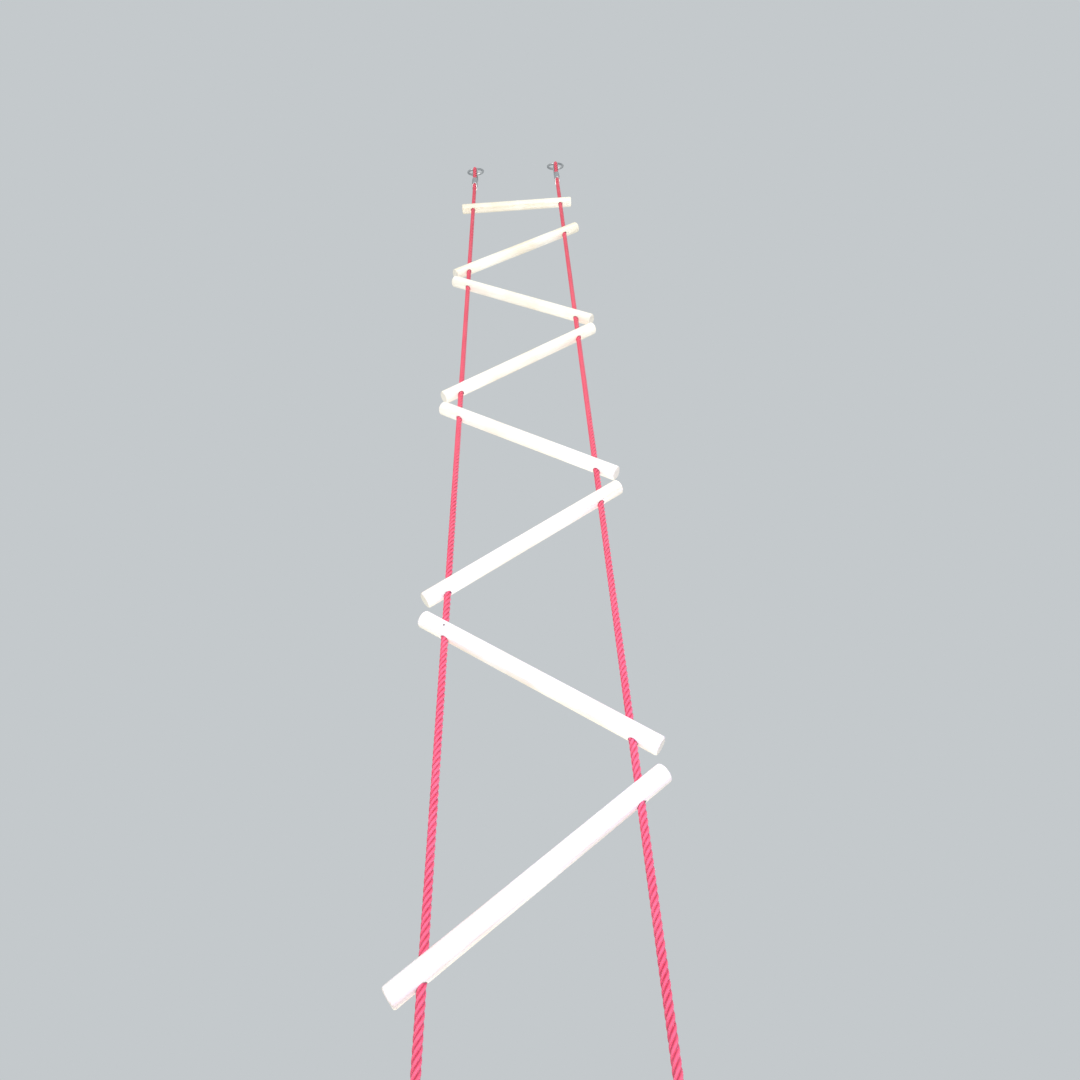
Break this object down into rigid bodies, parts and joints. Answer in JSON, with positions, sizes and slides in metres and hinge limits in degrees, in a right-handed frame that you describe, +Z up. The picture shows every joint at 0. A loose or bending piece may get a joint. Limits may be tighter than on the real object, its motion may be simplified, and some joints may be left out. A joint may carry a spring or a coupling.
{
  "type": "zigzag rope ladder",
  "caption": "Hanging climbing ladder of round wooden rungs, set level and in a zigzag, on two laid ropes with ringed top ends and tie-down eyes.",
  "frame": {"origin": "midway between the inner tops of the two suspension rings, where the hooks bear", "axes": "+Z up along the hanging ropes; +X from the left rope to the right rope; -Y is the front"},
  "size_m": [0.5064, 0.0724, 4.1388],
  "materials": {
    "wood": "turned and sanded, bare",
    "rope": "laid synthetic yarn",
    "galvanised_steel": "galvanised",
    "pressed_aluminium": "pressed, satin",
    "nail_steel": "dark oxide"
  },
  "bodies": {
    "rings": {"ring_left": "galvanised_steel", "ring_right": "galvanised_steel"},
    "hanger_left": {"top_eye_left": "rope", "thimble_left": "galvanised_steel", "top_ferrule_left": "pressed_aluminium"},
    "hanger_right": {"top_eye_right": "rope", "thimble_right": "galvanised_steel", "top_ferrule_right": "pressed_aluminium"},
    "left_top_rope": {"top_rope_left": "rope"},
    "right_top_rope": {"top_rope_right": "rope"},
    "level_rung_1": {"rung_1": "wood", "rope_left_in_rung_1": "rope", "rope_right_in_rung_1": "rope", "nail_left_1": "nail_steel", "nail_right_1": "nail_steel"},
    "bay_1": {"rope_left_bay_1": "rope", "rope_right_bay_1": "rope", "rung_2": "wood", "nail_left_2": "nail_steel", "nail_right_2": "nail_steel"},
    "bay_2": {"rope_left_bay_2": "rope", "rope_right_bay_2": "rope", "rung_3": "wood", "nail_left_3": "nail_steel", "nail_right_3": "nail_steel"},
    "bay_3": {"rope_left_bay_3": "rope", "rope_right_bay_3": "rope", "rung_4": "wood", "nail_left_4": "nail_steel", "nail_right_4": "nail_steel"},
    "bay_4": {"rope_left_bay_4": "rope", "rope_right_bay_4": "rope", "rung_5": "wood", "nail_left_5": "nail_steel", "nail_right_5": "nail_steel"},
    "bay_5": {"rope_left_bay_5": "rope", "rope_right_bay_5": "rope", "rung_6": "wood", "nail_left_6": "nail_steel", "nail_right_6": "nail_steel"},
    "bay_6": {"rope_left_bay_6": "rope", "rope_right_bay_6": "rope", "rung_7": "wood", "nail_left_7": "nail_steel", "nail_right_7": "nail_steel"},
    "bay_7": {"rope_left_bay_7": "rope", "rope_right_bay_7": "rope", "rung_8": "wood", "nail_left_8": "nail_steel", "nail_right_8": "nail_steel"},
    "bay_8": {"rope_left_bay_8": "rope", "rope_right_bay_8": "rope", "rung_9": "wood", "nail_left_9": "nail_steel", "nail_right_9": "nail_steel"},
    "left_bottom_eye": {"bottom_eye_left": "rope", "bottom_ferrule_left": "pressed_aluminium"},
    "right_bottom_eye": {"bottom_eye_right": "rope", "bottom_ferrule_right": "pressed_aluminium"}
  },
  "joints": [
    {"name": "swing_left", "type": "hinge", "parent": "rings", "child": "hanger_left", "pos_m": [-0.19, 0, -0.065], "axis": [1, 0, 0], "range_deg": [-70, 70]},
    {"name": "swing_right", "type": "hinge", "parent": "rings", "child": "hanger_right", "pos_m": [0.19, 0, -0.065], "axis": [1, 0, 0], "range_deg": [-70, 70]},
    {"name": "sway_left", "type": "hinge", "parent": "hanger_left", "child": "left_top_rope", "pos_m": [-0.19, 0, -0.2677], "axis": [0, 1, 0], "range_deg": [-20, 20]},
    {"name": "sway_right", "type": "hinge", "parent": "hanger_right", "child": "right_top_rope", "pos_m": [0.19, 0, -0.2677], "axis": [0, 1, 0], "range_deg": [-20, 20]},
    {"name": "level_keep", "type": "hinge", "parent": "left_top_rope", "child": "level_rung_1", "pos_m": [-0.19, 0, -0.4427], "axis": [0, 1, 0], "range_deg": [-20, 20]},
    {"name": "fold_1", "type": "hinge", "parent": "level_rung_1", "child": "bay_1", "pos_m": [0, 0, -0.46441], "axis": [1, 0, 0], "range_deg": [-90, 50]},
    {"name": "fold_2", "type": "hinge", "parent": "bay_1", "child": "bay_2", "pos_m": [0, 0, -0.90384], "axis": [-0.809, 0, -0.5878], "range_deg": [-90, 90]},
    {"name": "fold_3", "type": "hinge", "parent": "bay_2", "child": "bay_3", "pos_m": [0, 0, -1.3087], "axis": [0.809, 0, -0.5878], "range_deg": [-90, 90]},
    {"name": "fold_4", "type": "hinge", "parent": "bay_3", "child": "bay_4", "pos_m": [0, 0, -1.71356], "axis": [-0.809, 0, -0.5878], "range_deg": [-90, 90]},
    {"name": "fold_5", "type": "hinge", "parent": "bay_4", "child": "bay_5", "pos_m": [0, 0, -2.11842], "axis": [0.809, 0, -0.5878], "range_deg": [-90, 90]},
    {"name": "fold_6", "type": "hinge", "parent": "bay_5", "child": "bay_6", "pos_m": [0, 0, -2.52328], "axis": [-0.809, 0, -0.5878], "range_deg": [-90, 90]},
    {"name": "fold_7", "type": "hinge", "parent": "bay_6", "child": "bay_7", "pos_m": [0, 0, -2.92813], "axis": [0.809, 0, -0.5878], "range_deg": [-90, 90]},
    {"name": "fold_8", "type": "hinge", "parent": "bay_7", "child": "bay_8", "pos_m": [0, 0, -3.33299], "axis": [-0.809, 0, -0.5878], "range_deg": [-90, 90]},
    {"name": "left_bottom_swing", "type": "hinge", "parent": "bay_8", "child": "left_bottom_eye", "pos_m": [-0.19, 0, -3.77242], "axis": [1, 0, 0], "range_deg": [-90, 50]},
    {"name": "right_bottom_swing", "type": "hinge", "parent": "bay_8", "child": "right_bottom_eye", "pos_m": [0.19, 0, -3.77242], "axis": [1, 0, 0], "range_deg": [-90, 50]}
  ],
  "couplings": [
    {"joint": "swing_right", "follows": "swing_left", "ratio": 1},
    {"joint": "sway_right", "follows": "sway_left", "ratio": 1},
    {"joint": "level_keep", "follows": "sway_left", "ratio": -1}
  ]
}
